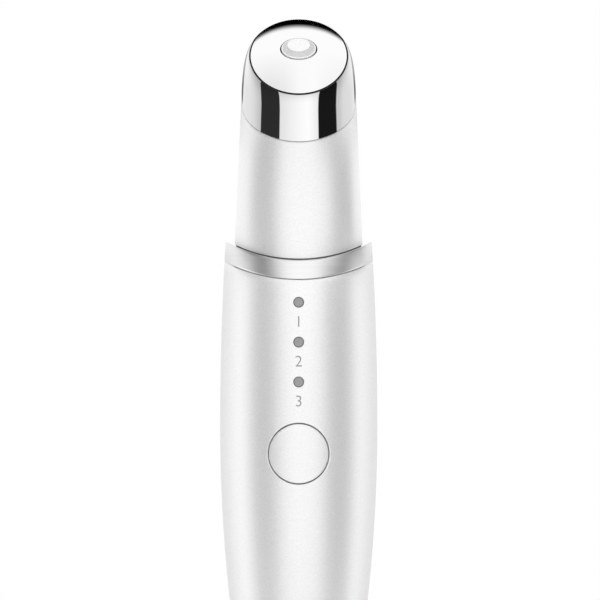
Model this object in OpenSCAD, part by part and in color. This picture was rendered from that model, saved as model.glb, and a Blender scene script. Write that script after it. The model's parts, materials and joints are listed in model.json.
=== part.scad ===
// Heated eye massager wand: slanted chrome head with a light in its face, tapered neck,
// saddle-shaped trim ring and a round body with three indicator dots and one button.
// It stands on its flat tail, +Z runs up to the head, and the button faces -Y.

/* [Body] */
// Radius of the body at its widest
body_r = 12; // [11.6:0.1:14]
// Height of the widest point
belly_z = 66; // [62:0.5:70]
// Radius of the outline's bow above the widest point
upper_bow_r = 456; // [400:2:800]
// Radius of the outline where it reaches the flat tail
tail_r = 6.18; // [6.1:0.02:7]
// Height at which the lower bow runs out into the straight tail
taper_z = 39.5; // [36:0.5:46]
// Wall of the two body shells
shell_wall = 1.5; // [1.2:0.1:1.7]
// Height of the tail cap's joint with the shells
tail_h = 8; // [6.5:0.5:8.5]
// Rounding of the tail's edge
tail_round = 1; // [0.4:0.1:1.3]
// Thickness of the tail cap's floor
tail_floor = 1.4; // [1:0.1:2]
// Length of the tail cap's spigot inside the shells
tail_spigot_l = 3; // [2:0.5:3.5]

/* [Trim ring] */
// Height of the ring's underside at the front
ring_z = 88.2; // [87.6:0.1:92]
// Height of the ring
ring_h = 2.9; // [2.2:0.1:4]
// Radius of the arc that cuts the ring's top edge
ring_top_bow_r = 23.5; // [20:0.5:40]
// Radius of the arc that cuts the ring's foot
ring_foot_bow_r = 25.8; // [20:0.5:40]
// Joint line between the ring and the shells
ring_joint = 0.1; // [0.05:0.01:0.2]

/* [Neck] */
// Width of the ring's ledge round the foot of the neck
ring_ledge = 1.45; // [1.3:0.05:1.6]
// Half angle of the neck's taper in degrees
neck_taper = 2.55; // [1.5:0.05:3]
// Length of the neck from the ring's top to the head's joint, on the axis
neck_l = 24.05; // [23:0.05:28]
// Depth of the neck's plug below the ring's underside
neck_plug_l = 1.8; // [1.5:0.1:2]
// Wall of the neck round the motor
neck_wall = 1.7; // [1.5:0.1:2]
// Wall of the neck's socket for the head carrier
socket_wall = 1.2; // [0.9:0.1:1.4]
// Depth of that socket below the head's joint, on the axis
socket_l = 7.1; // [6.6:0.1:8]
// Thickness of the neck seal's ring
seal_d = 0.6; // [0.4:0.05:0.7]

/* [Head] */
// Tilt of the joint between the neck and the head cap
seam_tilt = 34; // [30:1:36]
// Joint line between the neck and the head cap
seam_joint = 0.06; // [0.02:0.01:0.12]
// Height of the middle of the face above the joint, on the axis
head_l = 8.25; // [8:0.05:10]
// Tilt of the face
face_tilt = 36; // [33:1:38]
// Radius of the face's crown
face_bow_r = 37; // [32:1:90]
// Distance of the face's rim from the head's side wall, at the left and the right
rim_edge_w = 0.97; // [0.85:0.01:1.2]
// Distance of the face's rim from the head's wall, on average at the front and the back
rim_edge_d = 0.72; // [0.6:0.01:0.9]
// Shift of the rim towards the front
rim_shift = 0.46; // [0.3:0.02:0.6]
// Drop from the middle of the face to the foot of the shoulder, on the axis
shoulder_l = 5.95; // [5.4:0.05:6.2]
// Tilt of the shoulder's foot
shoulder_tilt = 23; // [20:1:25]
// Power of the shoulder's curve, where 2 is an ellipse
shoulder_power = 2.4; // [2:0.1:3]
// Wall of the head cap
cap_wall = 0.9; // [0.7:0.05:1]
// Thickness of the head cap's face
face_t = 1.6; // [1.2:0.1:2]
// Distance of the pocket behind the face from the head's side wall
pocket_edge = 2.62; // [2.4:0.02:2.8]
// Radius of the lens
lens_r = 2.8; // [2.4:0.05:3]
// Radius of the lens's raised middle
lens_top_r = 1.78; // [1.4:0.02:2.1]
// Height of the lens's raised middle
lens_rise = 0.68; // [0.3:0.02:0.9]
// Width of the lens's flange behind the face
lens_lip = 0.8; // [0.5:0.05:0.9]
// Thickness of the lens's flange
lens_lip_t = 0.55; // [0.4:0.05:0.7]
// Thickness of the heater film
film_t = 0.2; // [0.1:0.05:0.3]
// Thickness of the pressure pad behind the film
pad_t = 1.4; // [1.3:0.1:2]
// Thickness of the light board
light_board_t = 0.8; // [0.6:0.1:1.2]
// Width of the head light's chip
head_led_w = 2; // [1.6:0.1:2.4]
// Height of the head light's chip
head_led_h = 0.5; // [0.4:0.05:0.6]
// Radius of the temperature sensor
sensor_r = 0.4; // [0.3:0.05:0.5]

/* [Motor] */
// Radius of the motor's can
can_r = 3.5; // [3:0.1:3.8]
// Length of the can
can_l = 12; // [10:0.5:12.5]
// Thickness of the motor's end cap
end_cap_t = 1.2; // [0.8:0.1:1.6]
// Radius of the motor's shaft
shaft_r = 0.5; // [0.4:0.05:0.75]
// Radius of the eccentric weight
weight_r = 3; // [2.5:0.1:3.2]
// Length of the eccentric weight
weight_l = 4; // [3:0.25:4]
// Gap between the can and the weight
weight_gap = 1; // [0.6:0.1:1.2]
// Wall of the rubber boot round the can
boot_t = 0.95; // [0.7:0.05:1.1]
// Wall of the motor's cup
cup_wall = 0.75; // [0.6:0.05:0.8]

/* [Indicators] */
// Radius of an indicator dot
dot_r = 0.81; // [0.6:0.01:1]
// Distance from the ring's underside to the first dot
dot_drop = 3.5; // [3.45:0.05:4]
// Distance between two dots
dot_pitch = 6.05; // [5.4:0.05:6.2]
// Width of the light pipe's flange inside the wall
pipe_lip = 0.39; // [0.3:0.01:0.5]
// Thickness of that flange
pipe_lip_t = 0.6; // [0.4:0.1:1]

/* [Button] */
// Radius of the button's hole
button_hole_r = 4.7; // [4:0.05:5]
// Gap round the button
button_gap = 0.2; // [0.15:0.01:0.3]
// Height of the button's middle
button_z = 61.7; // [60.5:0.1:63]
// Travel of the button
button_travel = 0.35; // [0.2:0.05:0.4]
// Width of the button's flange inside the wall
button_lip = 0.8; // [0.6:0.05:1]
// Thickness of that flange
button_lip_t = 0.9; // [0.7:0.05:1.1]
// Radius of the button's stem
stem_r = 1.4; // [1.1:0.05:1.6]
// Length of that stem behind the flange
stem_l = 1.07; // [0.8:0.01:1.3]
// Thickness of the button's skin over its hollow back
button_skin = 1.5; // [1.2:0.1:1.8]
// Wall of the boss round the flange
boss_wall = 1; // [0.8:0.1:1.2]

/* [Electronics] */
// Thickness of the main board
board_t = 1; // [0.8:0.1:1.2]
// Least distance of the main board's sides from the shells
board_gap = 0.13; // [0.08:0.01:0.3]
// Height of the main board's lower end
board_z = 48; // [47.5:0.1:49]
// Length of the main board
board_l = 37.8; // [37.4:0.1:37.9]
// Width of the tact switch
tact_w = 4.5; // [4:0.1:5]
// Height of the tact switch's case
tact_h = 1.6; // [1.5:0.05:1.8]
// Radius of the switch's plunger
plunger_r = 1; // [0.8:0.05:1.2]
// Height of the plunger above its case
plunger_rise = 0.8; // [0.6:0.05:0.9]
// Width of an indicator's light chip
led_w = 1.6; // [1.2:0.1:1.8]
// Height of a light chip
led_h = 0.8; // [0.5:0.05:1]
// Room between the battery cell and the main board
cell_front_gap = 1.1; // [0.9:0.05:1.4]
// Room between the battery cell and the chassis wall behind it
cell_back_gap = 0.8; // [0.5:0.05:1.2]
// Length of the battery cell
cell_l = 38; // [36:0.5:38]
// Height of the battery cell's lower end
cell_z = 46; // [45.8:0.1:46.5]
// Thickness of the foam pads at the cell's ends
cell_pad_t = 0.8; // [0.6:0.05:1]
// Radius of a wire
wire_r = 0.35; // [0.25:0.01:0.38]

/* [Chassis] */
// Wall of the chassis
chassis_wall = 1.2; // [1:0.1:1.4]
// Thickness of the chassis plates
plate_t = 1.2; // [1:0.1:1.3]
// Radius of a board screw's shank
screw_r = 0.45; // [0.35:0.05:0.55]
// Radius of a board screw's head
screw_head_r = 1; // [0.8:0.05:1.2]
// Height of a board screw's head
screw_head_h = 0.7; // [0.5:0.05:0.9]
// Depth of a board screw in its boss
screw_l = 2.4; // [1.6:0.1:2.6]

/* [Charge port] */
// Width of the port's metal shell
port_w = 8.94; // [8.5:0.02:9]
// Thickness of the port's metal shell outside
port_d = 3.26; // [3:0.02:3.4]
// Length of the port
port_l = 7.3; // [6:0.1:7.5]
// Sheet of the port's shell
port_sheet = 0.3; // [0.2:0.02:0.4]
// Depth of the port's mouth behind the tail
port_recess = 0.2; // [0.1:0.05:0.4]
// Thickness of the charge board
charge_board_t = 0.8; // [0.6:0.05:0.9]
// Half width of the charge board
charge_board_half_w = 4.2; // [4:0.05:4.25]
// Length of the charge board
charge_board_l = 20; // [18:0.5:22]

/* [Fits] */
// Clearance between fixed pieces that fit in each other
fit = 0.05; // [0.03:0.01:0.07]
// Running clearance of the motor's shaft and of the plunger
run_gap = 0.05; // [0.03:0.01:0.08]

/* [Hidden] */
$fn = 96;

// Heights that follow from the sizes above
ring_top_z = ring_z + ring_h;
seam_z = ring_top_z + neck_l;
face_z = seam_z + head_l;
plug_z = ring_z - neck_plug_l;
ledge_z = seam_z - socket_l;
shoulder_z = face_z - shoulder_l;
board_top_z = board_z + board_l;
cell_top_z = cell_z + cell_l;
front_reach = 30;

// Outline of the body: two bows that meet at the widest point, and a straight tail
lower_bow_r = (belly_z - taper_z) * (belly_z + taper_z) / (2 * (body_r - tail_r));
taper_r = body_r - pow(belly_z - taper_z, 2) / (2 * lower_bow_r);
taper_slope = (belly_z - taper_z) / lower_bow_r;
function bow_r(z) =
  z >= belly_z ? body_r - pow(z - belly_z, 2) / (2 * upper_bow_r)
  : body_r - pow(belly_z - z, 2) / (2 * lower_bow_r);
function body_r_at(z) = z >= taper_z ? bow_r(z) : taper_r - taper_slope * (taper_z - z);
function heights(z0, z1, n) = [for (i = [0:n]) z0 + (z1 - z0) * i / n];
outline_steps = 14;
function outline(z0, z1, inset, steps = outline_steps) =
  [for (z = heights(z0, z1, steps)) [body_r_at(z) - inset, z]];

// The neck is straight up to the ring's top, and tapers above it
neck_slope = tan(neck_taper);
neck_foot_r = body_r_at(ring_top_z) - ring_ledge;
function neck_r_at(z) = neck_foot_r - neck_slope * max(z - ring_top_z, 0);
ring_bore_r = neck_foot_r + fit;
head_r = neck_r_at(face_z);

// Solid of revolution between two heights, its side inset from the body's outline
module body_core(z0, z1, inset, steps = outline_steps) {
  rotate_extrude() polygon(concat([[0, z0]], outline(z0, z1, inset, steps), [[0, z1]]));
}

// Solid of revolution that follows the neck, inset from its outside
module neck_core(z0, z1, inset) {
  foot = z0 < ring_top_z ? [[neck_foot_r - inset, z0], [neck_foot_r - inset, ring_top_z]] :
    [[neck_r_at(z0) - inset, z0]];
  rotate_extrude() polygon(concat([[0, z0]], foot, [[neck_r_at(z1) - inset, z1], [0, z1]]));
}

// Everything above the arc whose lowest point is at height z
module above_arc(z, r) {
  translate([0, front_reach, z + r]) rotate([90, 0, 0]) cylinder(r = r, h = 2 * front_reach);
}

// Everything above the plane that crosses the axis at height z, high at the back
module above_plane(z, tilt) {
  translate([0, 0, z]) rotate([tilt, 0, 0]) translate([-front_reach, -front_reach, 0])
    cube(2 * front_reach);
}

// Frame of the face: its middle is the origin, and +Z leaves the face
module on_face() {
  translate([0, 0, face_z]) rotate([face_tilt, 0, 0]) children();
}

// Cylinder along +Y that starts at y
module peg(x, y, z, r, l) {
  translate([x, y, z]) rotate([-90, 0, 0]) cylinder(r = r, h = l);
}

// Box with its middle at x and z, from y towards +Y
module slab(x, y, z, w, l, h) {
  translate([x - w / 2, y, z - h / 2]) cube([w, l, h]);
}

// Round wire along a list of points, with a ball at each bend
bend_swell = 0.03;
module wire(points) {
  for (i = [1:len(points) - 1]) {
    way = points[i] - points[i - 1];
    translate(points[i - 1]) rotate([0, acos(way.z / norm(way)), atan2(way.y, way.x)])
      cylinder(r = wire_r, h = norm(way));
    if (i < len(points) - 1) translate(points[i]) sphere(r = wire_r + bend_swell);
  }
}

// ---- Head ----

// Rings of the head cap's skin: the crowned face, the shoulder and the wall down to the joint
rim_half_w = head_r - rim_edge_w;
rim_half_d = head_r - rim_edge_d;
cap_sides = 72;
face_slope = tan(face_tilt);
function on_crown(x, y) = [x, y, face_z + face_slope * y - (x * x + y * y) / (2 * face_bow_r)];
function face_point(a, f) = on_crown(f * rim_half_w * cos(a), f * (rim_half_d * sin(a) - rim_shift));
function way_of(a) = atan2(rim_half_d * sin(a) - rim_shift, rim_half_w * cos(a));
function cone_r(z, slope, way) =
  (neck_foot_r - neck_slope * (z - ring_top_z)) / (1 + neck_slope * slope * sin(way));
function wall_point(a, z, slope) =
  let (way = way_of(a), r = cone_r(z, slope, way))
  [r * cos(way), r * sin(way), z + slope * r * sin(way)];
function shoulder_point(a, u) =
  let (
    top = face_point(a, 1),
    foot = wall_point(a, shoulder_z, tan(shoulder_tilt)),
    out = pow(sin(u), 2 / shoulder_power),
    down = 1 - pow(cos(u), 2 / shoulder_power)
  )
  [top.x + (foot.x - top.x) * out, top.y + (foot.y - top.y) * out, top.z + (foot.z - top.z) * down];
face_rings = [0.35, 0.7, 1];
shoulder_steps = 8;
cap_angles = [for (i = [0:cap_sides - 1]) 360 * i / cap_sides];
cap_rings = concat(
  [for (f = face_rings) [for (a = cap_angles) face_point(a, f)]],
  [for (j = [1:shoulder_steps]) [for (a = cap_angles) shoulder_point(a, 90 * j / shoulder_steps)]],
  [[for (a = cap_angles) wall_point(a, seam_z, tan(seam_tilt))]]
);
cap_points = concat([[0, 0, face_z]], [for (ring = cap_rings) for (p = ring) p], [[0, 0, seam_z]]);
function ring_index(j, i) = 1 + j * cap_sides + i % cap_sides;
cap_last = len(cap_rings) - 1;
cap_faces = concat(
  [for (i = [0:cap_sides - 1]) [0, ring_index(0, i + 1), ring_index(0, i)]],
  [for (j = [0:cap_last - 1]) for (i = [0:cap_sides - 1]) each [
    [ring_index(j, i), ring_index(j, i + 1), ring_index(j + 1, i)],
    [ring_index(j, i + 1), ring_index(j + 1, i + 1), ring_index(j + 1, i)]
  ]],
  [for (i = [0:cap_sides - 1]) [len(cap_points) - 1, ring_index(cap_last, i), ring_index(cap_last, i + 1)]]
);

// Depths of the stack behind the face
pocket_r = head_r - pocket_edge;
film_back = face_t + film_t;
pad_back = film_back + pad_t;
stack_back = pad_back + light_board_t;
lens_back = face_t + lens_lip_t;
stack_gap = 0.15;
stack_hole_r = lens_r + lens_lip + stack_gap;
film_r = pocket_r - stack_gap - fit;
sensor_l = 1;
sensor_y = (stack_hole_r + film_r) / 2;

module head_cap() {
  color("gainsboro")
    difference() {
      polyhedron(points = cap_points, faces = cap_faces, convexity = 4);
      difference() {
        neck_core(plug_z, face_z + front_reach / 2, cap_wall);
        on_face() translate([-front_reach, -front_reach, -stack_back + 2 * fit])
          cube(2 * front_reach);
      }
      on_face() translate([0, 0, -stack_back - fit])
        cylinder(r = pocket_r, h = stack_back + fit - face_t);
      on_face() translate([0, 0, -stack_back]) cylinder(r = lens_r + fit, h = 2 * stack_back);
    }
}

lens_edge = 0.2;
module lens() {
  color("white", 0.7)
    on_face() rotate_extrude() polygon([
      [0, -lens_back], [lens_r + lens_lip, -lens_back], [lens_r + lens_lip, -face_t - fit / 2],
      [lens_r, -face_t - fit / 2], [lens_r, -lens_edge / 2], [lens_r - lens_edge, 0],
      [lens_top_r, lens_rise], [0, lens_rise]
    ]);
}

// Flat ring of the stack, from depth top to depth back behind the face
module stack_ring(top, back) {
  on_face() translate([0, 0, -back]) difference() {
    cylinder(r = film_r, h = back - top);
    translate([0, 0, -1]) cylinder(r = stack_hole_r, h = back - top + 2);
  }
}

module heater_film() {
  color("orange") stack_ring(face_t, film_back);
}

module pressure_pad() {
  color("dimgray")
    difference() {
      stack_ring(film_back, pad_back);
      on_face() translate([0, -sensor_y, -film_back - sensor_l - fit])
        cylinder(r = sensor_r + fit, h = sensor_l + 2 * fit);
    }
}

module temp_sensor() {
  color("black") on_face() translate([0, -sensor_y, -film_back - sensor_l])
    cylinder(r = sensor_r, h = sensor_l);
}

module head_led() {
  color("khaki") on_face() translate([-head_led_w / 2, -head_led_w / 2, -pad_back])
    cube([head_led_w, head_led_w, head_led_h]);
}

module light_board() {
  color("darkgreen") on_face() translate([0, 0, -stack_back])
    cylinder(r = film_r, h = light_board_t);
}

// Plug that joins the neck to the head cap and carries the stack
weight_room = 0.5;
carrier_bore_r = weight_r + weight_room;
wire_slot_w = 7.9;
head_wire_y = -1.2;
module head_carrier() {
  color("whitesmoke")
    difference() {
      neck_core(ledge_z, face_z, socket_wall + fit);
      on_face() translate([-front_reach, -front_reach, -stack_back]) cube(2 * front_reach);
      translate([0, 0, ledge_z - 1]) cylinder(r = carrier_bore_r, h = face_z - ledge_z);
      translate([-wire_slot_w / 2, -front_reach, ledge_z - 1])
        cube([wire_slot_w, front_reach + head_wire_y + 2 * wire_r + fit, face_z - ledge_z]);
    }
}

// ---- Neck and ring ----

seal_z = plug_z + neck_plug_l / 2;
seal_slack = 0.05;
module neck_sleeve() {
  color("white")
    difference() {
      neck_core(plug_z, face_z, 0);
      neck_core(plug_z - 1, face_z + 1, neck_wall);
      neck_core(ledge_z, face_z + 1, socket_wall);
      above_plane(seam_z - seam_joint, seam_tilt);
      rotate_extrude() translate([neck_foot_r - seal_d - seal_slack, seal_z - seal_d / 2 - seal_slack])
        square([seal_d + 1, seal_d + 2 * seal_slack]);
    }
}

module neck_seal() {
  color("black") translate([0, 0, seal_z]) rotate_extrude()
    translate([neck_foot_r - seal_d / 2, 0]) circle(r = seal_d / 2);
}

// The ring's sides rise by less than this above its middle
ring_rise = 5;
module trim_ring() {
  color("silver")
    intersection() {
      difference() {
        body_core(ring_z - 1, ring_top_z + ring_rise, 0, face_steps);
        translate([0, 0, ring_z - 2]) cylinder(r = ring_bore_r, h = ring_h + ring_rise + 3);
        above_arc(ring_top_z, ring_top_bow_r);
      }
      above_arc(ring_z, ring_foot_bow_r);
    }
}

// ---- Body shells, tail, indicators and button ----

spigot_top_z = tail_h + tail_spigot_l;
button_r = button_hole_r - button_gap;
button_lip_r = button_r + button_lip;
boss_r = button_lip_r + button_gap;
shell_in_at_button = body_r_at(button_z) - shell_wall;
button_lip_y = -sqrt(pow(shell_in_at_button, 2) - pow(button_lip_r, 2)) + button_gap / 2;
button_back_y = button_lip_y + button_lip_t;
boss_end_y = button_back_y + button_travel;
function dot_z(i) = ring_z - dot_drop - dot_pitch * i;
dot_count = 3;
face_steps = 3;
plug_gap = 0.3;

// Depths behind the button: its stem, the switch, the main board and the battery cell
plunger_y = button_back_y + stem_l + run_gap;
front_y = plunger_y + plunger_rise + tact_h;
board_back = -front_y - board_t;
board_room_r = min(body_r_at(board_z), body_r_at(board_top_z)) - shell_wall;
board_half_w = sqrt(pow(board_room_r, 2) - pow(front_y, 2)) - board_gap;
cell_front_y = cell_front_gap - board_back;
cell_back_y = body_r_at(cell_z) - shell_wall - fit - chassis_wall - cell_back_gap;
cell_r = (cell_back_y - cell_front_y) / 2;
cell_y = (cell_back_y + cell_front_y) / 2;

// Tube of the two shells, its top cut to the ring's foot
module shell_tube() {
  difference() {
    body_core(tail_h, ring_z + 4, 0);
    body_core(tail_h - 1, plug_z - plug_gap, shell_wall);
    translate([0, 0, plug_z - 1]) cylinder(r = ring_bore_r, h = 8);
    above_arc(ring_z - ring_joint, ring_foot_bow_r);
  }
}

module front_shell() {
  color("white")
    difference() {
      union() {
        difference() {
          shell_tube();
          translate([-front_reach, 0, 0]) cube([2 * front_reach, front_reach, 5 * front_reach]);
        }
        intersection() {
          peg(0, -body_r, button_z, boss_r + boss_wall, body_r + boss_end_y);
          body_core(button_z - 2 * boss_r, button_z + 2 * boss_r, shell_wall / 2, face_steps);
        }
      }
      peg(0, -body_r - 1, button_z, button_hole_r, front_reach);
      peg(0, button_lip_y - button_gap / 2, button_z, boss_r, front_reach);
      for (i = [0:dot_count - 1]) peg(0, -body_r - 1, dot_z(i), dot_r + fit, body_r);
    }
}

module rear_shell() {
  color("white")
    intersection() {
      shell_tube();
      translate([-front_reach, 0, 0]) cube([2 * front_reach, front_reach, 5 * front_reach]);
    }
}

// Flat slot with round ends, along +Z
module port_slot(w, d, l) {
  linear_extrude(l) {
    square([w - d, d], center = true);
    for (side = [-1, 1]) translate([side * (w - d) / 2, 0]) circle(d = d);
  }
}

round_steps = 6;
tail_edge_r = body_r_at(tail_round) - tail_round;
port_room = 0.1;
port_back_y = port_d / 2;
tail_bore_r = max(port_w / 2, norm([charge_board_half_w, port_back_y + fit + charge_board_t])) + fit;
module tail_cap() {
  edge = [for (i = [0:round_steps - 1]) let (a = 90 * i / round_steps)
    [tail_edge_r + tail_round * sin(a), tail_round * (1 - cos(a))]];
  color("white")
    difference() {
      union() {
        rotate_extrude() polygon(concat([[0, 0]], edge, outline(tail_round, tail_h, 0), [[0, tail_h]]));
        body_core(tail_h - 1, spigot_top_z, shell_wall + fit, 1);
      }
      translate([0, 0, tail_floor]) cylinder(r = tail_bore_r, h = front_reach);
      translate([0, 0, -1]) port_slot(port_w + 2 * port_room, port_d + 2 * port_room, tail_floor + 2);
    }
}

// One light pipe: flush outside, with a flange inside the wall, ending over its light chip
pipe_air = 0.3;
module light_pipe(i) {
  inner_r = body_r_at(dot_z(i)) - shell_wall;
  lip_r = dot_r + pipe_lip;
  lip_y = -sqrt(inner_r * inner_r - lip_r * lip_r) + fit;
  end_y = front_y - led_h - pipe_air;
  color("lightgray")
    union() {
      intersection() {
        peg(0, -body_r - 1, dot_z(i), dot_r, body_r + 1 + end_y);
        body_core(dot_z(i) - 2 * dot_r, dot_z(i) + 2 * dot_r, 0, 1);
      }
      peg(0, lip_y, dot_z(i), lip_r, pipe_lip_t);
    }
}

button_side = 0.9;
button_crown = 0.5;
module button() {
  hollow_r = button_r - button_side;
  color("white")
    difference() {
      union() {
        intersection() {
          peg(0, -body_r - 1, button_z, button_r, body_r + 1 + button_back_y);
          body_core(button_z - 2 * button_r, button_z + 2 * button_r, 0, face_steps);
        }
        peg(0, button_lip_y, button_z, button_lip_r, button_lip_t);
        peg(0, button_back_y - 1, button_z, stem_r, stem_l + 1);
      }
      difference() {
        peg(0, -body_r_at(button_z) + button_skin + button_crown, button_z, hollow_r, body_r / 2);
        peg(0, -body_r, button_z, stem_r, body_r);
      }
    }
}

// ---- Main board ----

plunger_foot = 0.5;
plunger_spare = 0.1;
module tact_switch() {
  depth = plunger_foot + button_travel + plunger_spare;
  color("black")
    difference() {
      slab(0, front_y - tact_h, button_z, tact_w, tact_h, tact_w);
      peg(0, front_y - tact_h - 1, button_z, plunger_r + run_gap, 1 + depth);
    }
}

module tact_plunger() {
  color("dimgray") peg(0, plunger_y, button_z, plunger_r, plunger_rise + plunger_foot);
}

led_depth = 1.2;
module indicator_leds() {
  color("khaki")
    for (i = [0:dot_count - 1]) slab(0, front_y - led_h, dot_z(i), led_w, led_h, led_depth);
}

screw_edge = 1.8;
screw_foot = 4.5;
screw_top = 11.3;
screw_x = board_half_w - screw_edge;
screw_rows = [board_z + screw_foot, board_top_z - screw_top];
module main_board() {
  color("darkgreen")
    difference() {
      translate([-board_half_w, front_y, board_z]) cube([2 * board_half_w, board_t, board_l]);
      for (side = [-1, 1], z = screw_rows) peg(side * screw_x, front_y - 1, z, screw_r + fit, board_t + 2);
    }
}

chip_h = 0.9;
chip_w = 4;
chip_lift = 1.2;
chip_z = (dot_z(dot_count - 1) + button_z) / 2 + chip_lift;
power_x = 3;
power_rise = 4;
power_z = board_z + power_rise;
module board_chips() {
  color("black") {
    slab(0, front_y - chip_h, chip_z, chip_w, chip_h, chip_w);
    slab(-power_x, front_y - chip_h, power_z, chip_w / 2, chip_h, chip_w);
  }
}

inductor_r = 1.6;
inductor_h = 1.8;
module power_inductor() {
  color("dimgray") peg(power_x, front_y - inductor_h, power_z, inductor_r, inductor_h);
}

module board_screws() {
  color("silver")
    for (side = [-1, 1], z = screw_rows) {
      peg(side * screw_x, front_y - screw_head_h, z, screw_head_r, screw_head_h);
      peg(side * screw_x, front_y - screw_head_h / 2, z, screw_r, screw_head_h / 2 + board_t + screw_l);
    }
}

// ---- Battery ----

module battery_cell() {
  color("steelblue") translate([0, cell_y, cell_z]) cylinder(r = cell_r, h = cell_l);
}

cell_pad_edge = 2;
cell_pad_r = cell_r - cell_pad_edge;
module battery_pads() {
  color("dimgray")
    for (z = [cell_z - cell_pad_t, cell_top_z]) translate([0, cell_y, z])
      cylinder(r = cell_pad_r, h = cell_pad_t);
}

// ---- Chassis ----

chassis_z = spigot_top_z + 2 * fit;
chassis_top_z = cell_top_z + cell_pad_t + plate_t;
cup_lift = 0.9;
cup_floor_z = ring_top_z + cup_lift;
can_z = cup_floor_z + plate_t + end_cap_t + fit;
cup_r = can_r + boot_t + fit;
can_stand = 1;
cup_top_z = can_z + can_l - can_stand;
plate_front_y = -0.5;
seat_lip = 0.1;
screw_boss_w = 4.6;
screw_boss_h = 3.2;
screw_boss_edge = 1.1;
screw_boss_x = screw_x - screw_boss_edge + screw_boss_w / 2;
screw_boss_floor = 0.6;
screw_spare = 0.2;

// The head's wires run up between the motor's cup and the neck
wire_spread = [-3.2, -1.8, 1.8, 3.2];
wire_room = 0.25;
wire_way_r = (cup_r + cup_wall + neck_r_at(ledge_z) - neck_wall) / 2;
function way_y(x) = -sqrt(wire_way_r * wire_way_r - x * x);
cradle_inset = 7;
cradle_rows = [cell_z + cradle_inset, cell_top_z - cradle_inset - plate_t];
board_setback = 1.8;
charge_board_z = port_recess + board_setback;
charge_board_top_z = charge_board_z + charge_board_l;

// Room inside the shells and the neck, with the fit taken off
module chassis_room(inset) {
  body_core(chassis_z, chassis_top_z, shell_wall + fit + inset);
  neck_core(chassis_top_z - plate_t, cup_floor_z + plate_t, neck_wall + fit + inset);
}

// Plate across the room behind y, from height z up
module room_plate(y, z) {
  intersection() {
    chassis_room(0);
    translate([-front_reach, y, z]) cube([2 * front_reach, 2 * front_reach, plate_t]);
  }
}

module chassis() {
  boss_depth = screw_l + screw_boss_floor;
  color("lightslategray")
    difference() {
      union() {
        difference() {
          chassis_room(0);
          body_core(chassis_z - 1, chassis_top_z - plate_t, shell_wall + fit + chassis_wall);
          neck_core(chassis_top_z - plate_t - 1, cup_floor_z, neck_wall + fit + chassis_wall);
          translate([-front_reach, -2 * front_reach - board_back, 0])
            cube([2 * front_reach, 2 * front_reach, cup_floor_z]);
        }
        for (z = [cell_z - cell_pad_t - plate_t, chassis_top_z - plate_t]) room_plate(plate_front_y, z);
        for (z = cradle_rows) room_plate(plate_front_y, z);
        intersection() {
          chassis_room(0);
          for (side = [-1, 1], z = screw_rows)
            slab(side * screw_boss_x, -board_back, z, screw_boss_w, boss_depth, screw_boss_h);
        }
        translate([0, 0, cup_floor_z]) cylinder(r = cup_r + cup_wall, h = cup_top_z - cup_floor_z);
      }
      for (z = cradle_rows) translate([0, cell_y, z - 1]) cylinder(r = cell_r + fit, h = plate_t + 2);
      for (side = [-1, 1], z = screw_rows)
        peg(side * screw_x, -board_back - 1, z, screw_r + fit, 1 + screw_l + screw_spare);
      translate([0, 0, cup_floor_z + plate_t]) cylinder(r = cup_r, h = front_reach);
      translate([0, 0, cup_floor_z - 1]) cylinder(r = can_r - seat_lip, h = front_reach);
      translate([-wire_slot_w / 2, way_y(wire_spread[0]) + wire_r + wire_room - front_reach, cup_floor_z - 1])
        cube([wire_slot_w, front_reach, plate_t + 2]);
      translate([-charge_board_half_w - fit, port_back_y + fit / 2, chassis_z - 1])
        cube([2 * (charge_board_half_w + fit), charge_board_t + 2 * fit,
          charge_board_top_z + fit - chassis_z + 1]);
    }
}

// ---- Motor ----

module motor_can() {
  color("silver") translate([0, 0, can_z]) difference() {
    cylinder(r = can_r, h = can_l);
    translate([0, 0, -1]) cylinder(r = shaft_r + run_gap, h = can_l + 2);
  }
}

module motor_end_cap() {
  color("black") translate([0, 0, can_z - end_cap_t]) difference() {
    cylinder(r = can_r, h = end_cap_t);
    translate([0, 0, end_cap_t / 2]) cylinder(r = shaft_r + run_gap, h = end_cap_t);
  }
}

weight_z = can_z + can_l + weight_gap;
module motor_shaft() {
  low_z = can_z - end_cap_t / 2 + run_gap;
  color("gray") translate([0, 0, low_z]) cylinder(r = shaft_r, h = weight_z + weight_l - low_z);
}

hub_wall = 0.7;
weight_hub_r = shaft_r + hub_wall;
module eccentric_weight() {
  color("darkgoldenrod") translate([0, 0, weight_z]) difference() {
    union() {
      cylinder(r = weight_hub_r, h = weight_l);
      intersection() {
        cylinder(r = weight_r, h = weight_l);
        translate([-front_reach, 0, 0]) cube([2 * front_reach, front_reach, weight_l]);
      }
    }
    translate([0, 0, -1]) cylinder(r = shaft_r + fit / 2, h = weight_l + 2);
  }
}

boot_spare = 1.5;
module motor_boot() {
  color("dimgray") translate([0, 0, can_z + fit]) difference() {
    cylinder(r = can_r + boot_t, h = can_l - boot_spare);
    translate([0, 0, -1]) cylinder(r = can_r + fit / 2, h = can_l + 1);
  }
}

// ---- Charge port ----

module charge_port() {
  color("silver") translate([0, 0, port_recess]) difference() {
    port_slot(port_w, port_d, port_l);
    translate([0, 0, -1]) port_slot(port_w - 2 * port_sheet, port_d - 2 * port_sheet, port_l + 2);
  }
}

tongue_w = 6.7;
tongue_t = 0.7;
tongue_base = 1.2;
tongue_inset = 1;
module port_tongue() {
  in_w = port_w - 2 * (port_sheet + fit);
  in_d = port_d - 2 * (port_sheet + fit);
  color("black") {
    translate([0, 0, port_recess + port_l - tongue_base]) port_slot(in_w, in_d, tongue_base);
    slab(0, -tongue_t / 2, port_recess + (port_l + tongue_inset) / 2,
      tongue_w, tongue_t, port_l - tongue_inset);
  }
}

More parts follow.
